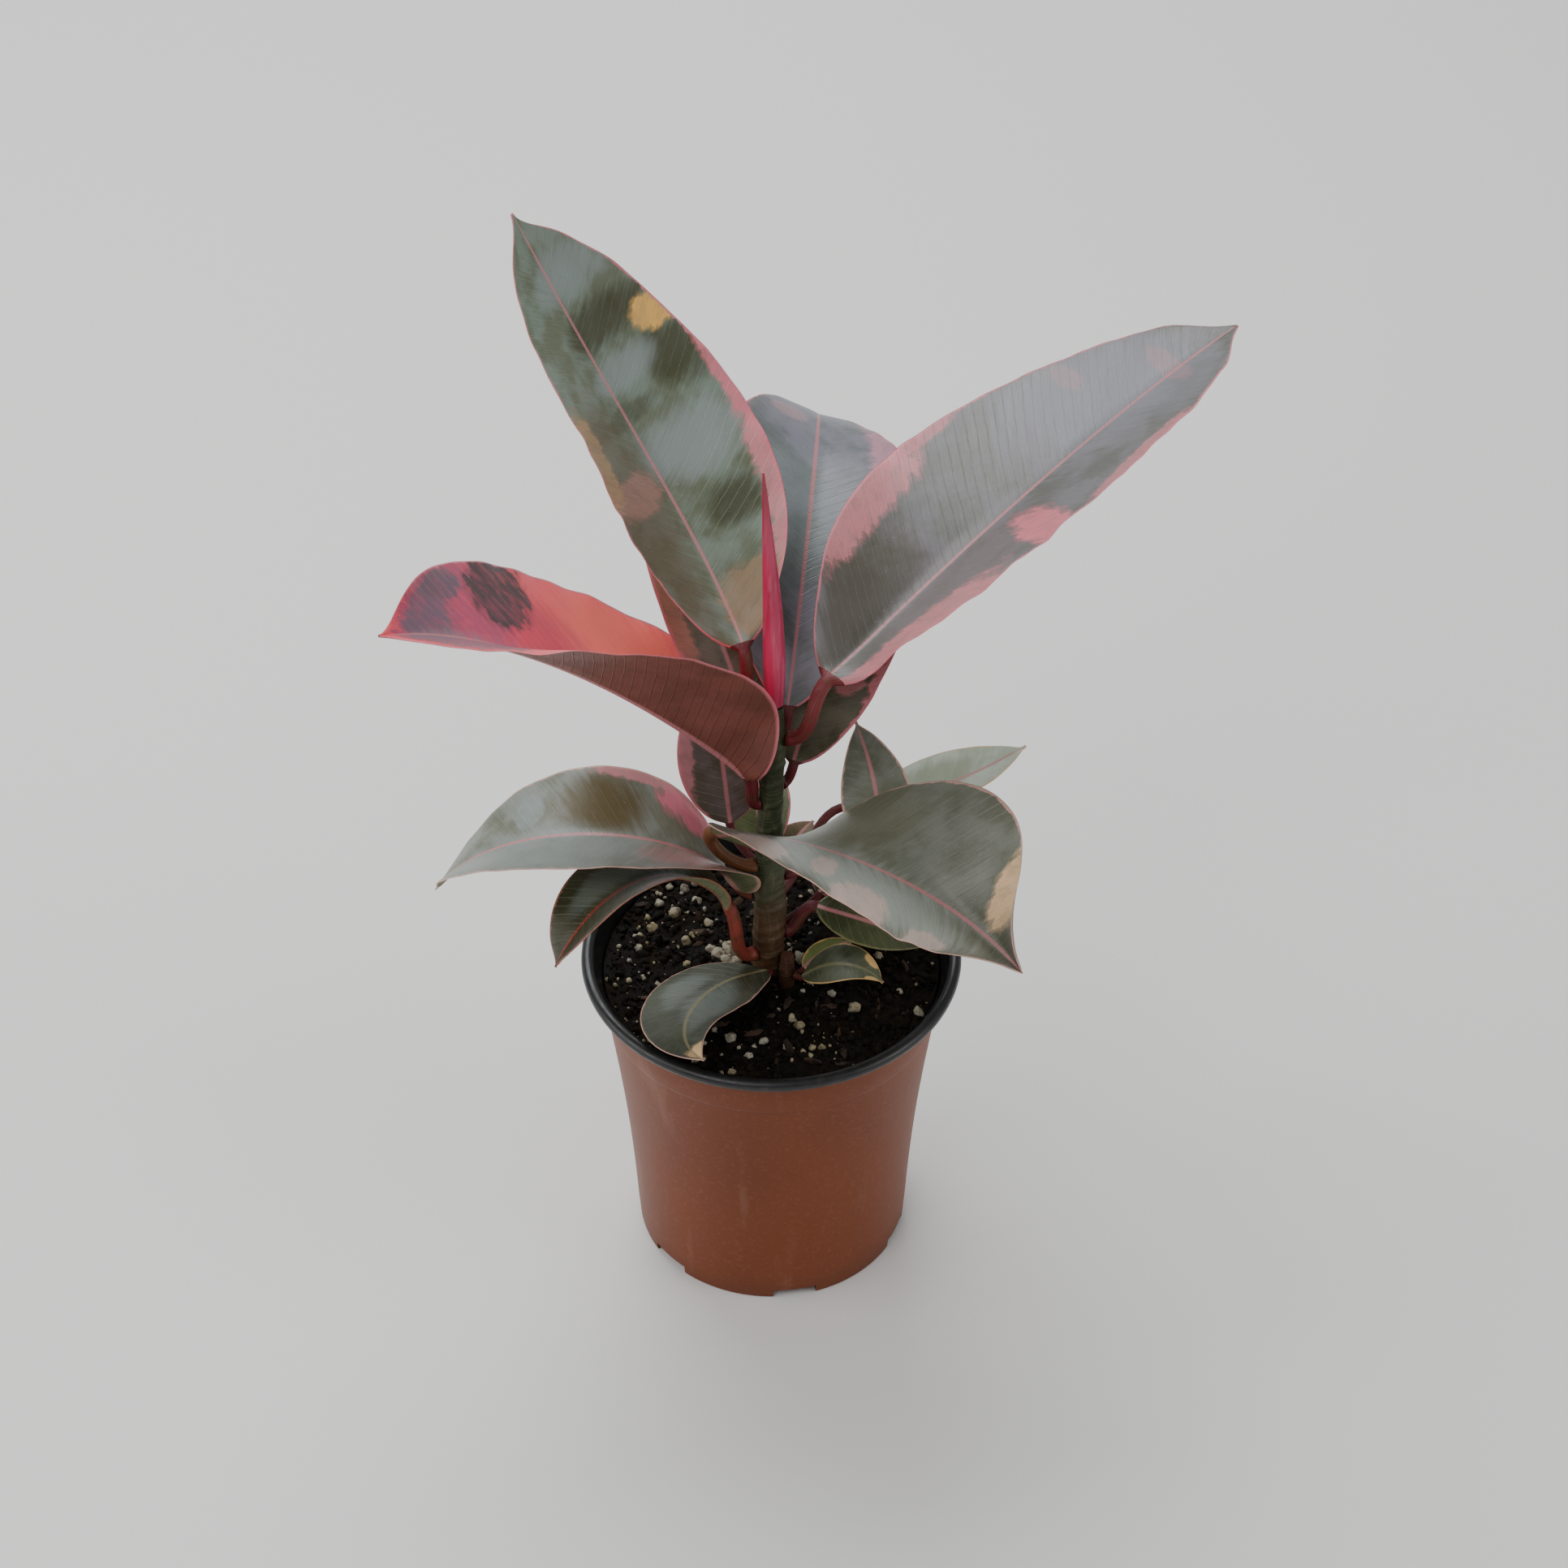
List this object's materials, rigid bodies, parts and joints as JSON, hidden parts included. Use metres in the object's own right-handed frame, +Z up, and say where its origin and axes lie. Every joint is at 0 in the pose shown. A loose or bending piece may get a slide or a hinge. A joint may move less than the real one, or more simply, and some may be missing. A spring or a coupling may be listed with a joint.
{
  "type": "potted rubber plant",
  "caption": "Young variegated rubber plant with broad pink-edged leaves on an upright stem, growing in peat in a tapered plastic nursery pot with a rolled rim.",
  "frame": {"origin": "centre of the pot's base, on the surface that it stands on", "axes": "+Z up along the pot's axis, -Y towards the front view, +X to the right"},
  "size_m": [0.2555, 0.1951, 0.3449],
  "materials": {
    "pot_plastic": "satin terracotta outside, black rim and inside",
    "peat": "moist crumbly peat with white perlite grains",
    "stem_bark": "green above, brown and ringed below",
    "sheath": "smooth crimson",
    "leaf_variegated": "glossy grey-green with pink and cream margins",
    "leaf_pink": "glossy coral pink with dark patches",
    "leaf_green": "glossy dark green"
  },
  "bodies": {
    "root": {"pot": "pot_plastic", "soil": "peat", "main_stem": "stem_bark", "side_shoot": "stem_bark", "new_leaf_sheath": "sheath", "leaf_top_left": "leaf_variegated", "leaf_top_right": "leaf_variegated", "leaf_top_back": "leaf_variegated", "leaf_folded_left": "leaf_pink", "leaf_mid_right": "leaf_green", "leaf_mid_left_back": "leaf_variegated", "leaf_low_left": "leaf_variegated", "leaf_drooping_left": "leaf_variegated", "leaf_low_right": "leaf_variegated", "leaf_small_back_left": "leaf_variegated", "leaf_small_back_right": "leaf_variegated", "leaf_pale_right": "leaf_variegated", "leaf_dark_right_back": "leaf_green", "leaf_olive_back": "leaf_green", "leaf_under_right": "leaf_green", "leaf_baby_right": "leaf_variegated", "leaf_soil_right": "leaf_variegated", "leaf_soil_left": "leaf_variegated", "leaf_green_back": "leaf_green"}
  },
  "joints": []
}
